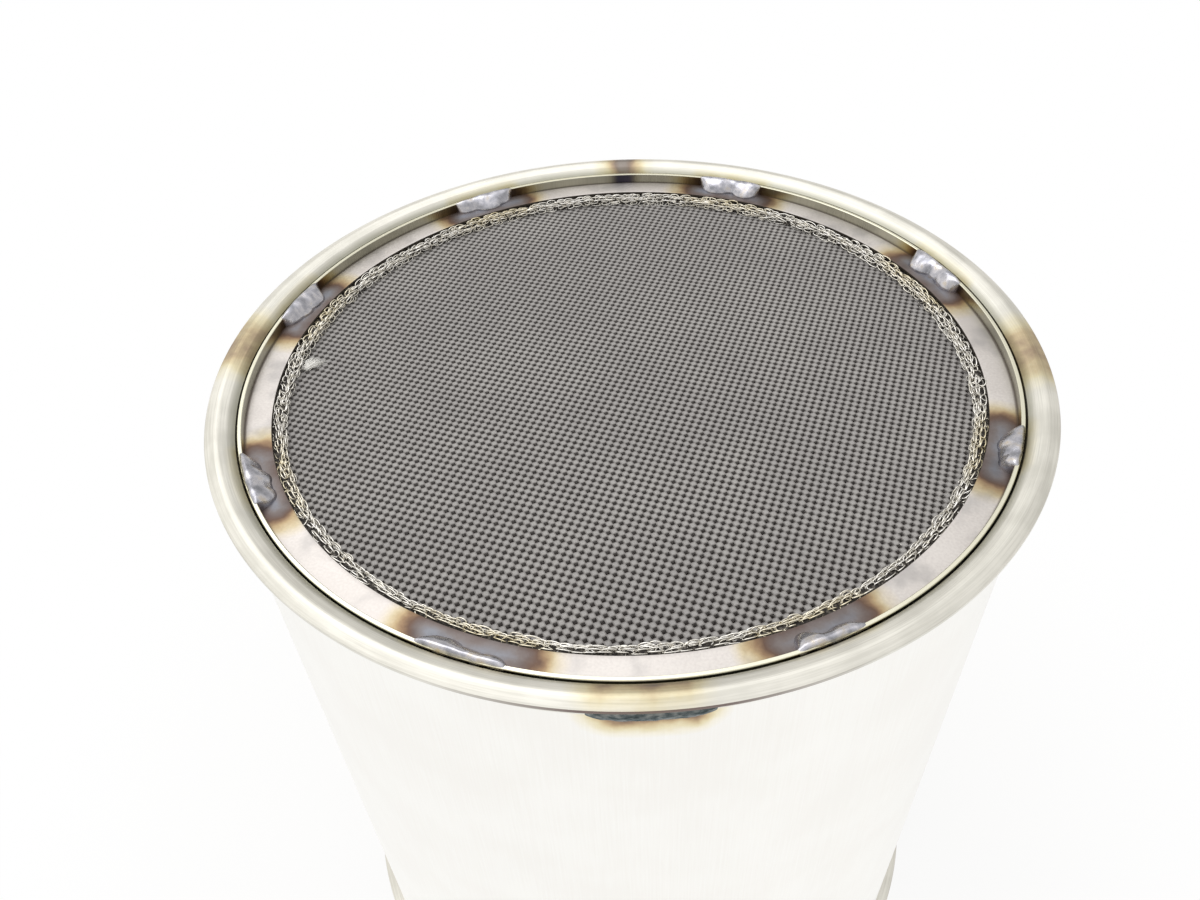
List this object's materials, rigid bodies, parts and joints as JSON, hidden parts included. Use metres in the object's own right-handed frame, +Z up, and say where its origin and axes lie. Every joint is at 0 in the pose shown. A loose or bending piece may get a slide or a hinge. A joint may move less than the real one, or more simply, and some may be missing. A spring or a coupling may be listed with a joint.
{
  "type": "diesel particulate filter module",
  "caption": "Round steel-cased ceramic wall-flow exhaust filter with a V-band flange, a tack-welded retaining ring and a knitted-wire seal at each end.",
  "frame": {"origin": "centre of the lower flange's sealing land, which the module stands on", "axes": "+Z up the axis of the can, from the lower flange to the upper one; +X is square to it and lines up with the open channels' rows"},
  "size_m": [0.2998, 0.2998, 0.3272],
  "materials": {
    "cordierite": "dull unglazed cordierite, grey-brown walls between open square channels",
    "ceramic_fibre": "needled ceramic-fibre mat",
    "can_steel": "rolled stainless sheet with a bright sheared edge, straw heat tint near the welds",
    "glass_wool": "glass-wool blanket",
    "jacket_steel": "bright rolled stainless sheet, faint lengthwise grain",
    "turned_steel": "turned stainless with fine concentric tool lines and brown and straw heat tint",
    "ring_steel": "flat laser-cut stainless, satin, with straw, brown and blue heat tint at the tacks",
    "knitted_wire": "bright knitted stainless wire, tinted gold in places",
    "weld_bead": "grey oxidised weld metal, rippled"
  },
  "bodies": {
    "root": {"filter_block": "cordierite", "support_mat": "ceramic_fibre", "can": "can_steel", "insulation_blanket": "glass_wool", "jacket": "jacket_steel", "upper_flange": "turned_steel", "upper_retaining_ring": "ring_steel", "upper_mesh_seal": "knitted_wire", "lower_flange": "turned_steel", "lower_retaining_ring": "ring_steel", "lower_mesh_seal": "knitted_wire", "upper_tack_weld_1": "weld_bead", "upper_tack_weld_2": "weld_bead", "upper_tack_weld_3": "weld_bead", "upper_tack_weld_4": "weld_bead", "upper_tack_weld_5": "weld_bead", "upper_tack_weld_6": "weld_bead", "upper_tack_weld_7": "weld_bead", "upper_tack_weld_8": "weld_bead", "upper_stitch_weld_1": "weld_bead", "upper_stitch_weld_2": "weld_bead", "upper_stitch_weld_3": "weld_bead", "upper_stitch_weld_4": "weld_bead", "lower_tack_weld_1": "weld_bead", "lower_tack_weld_2": "weld_bead", "lower_tack_weld_3": "weld_bead", "lower_tack_weld_4": "weld_bead", "lower_tack_weld_5": "weld_bead", "lower_tack_weld_6": "weld_bead", "lower_tack_weld_7": "weld_bead", "lower_tack_weld_8": "weld_bead", "lower_stitch_weld_1": "weld_bead", "lower_stitch_weld_2": "weld_bead", "lower_stitch_weld_3": "weld_bead", "lower_stitch_weld_4": "weld_bead"}
  },
  "joints": []
}
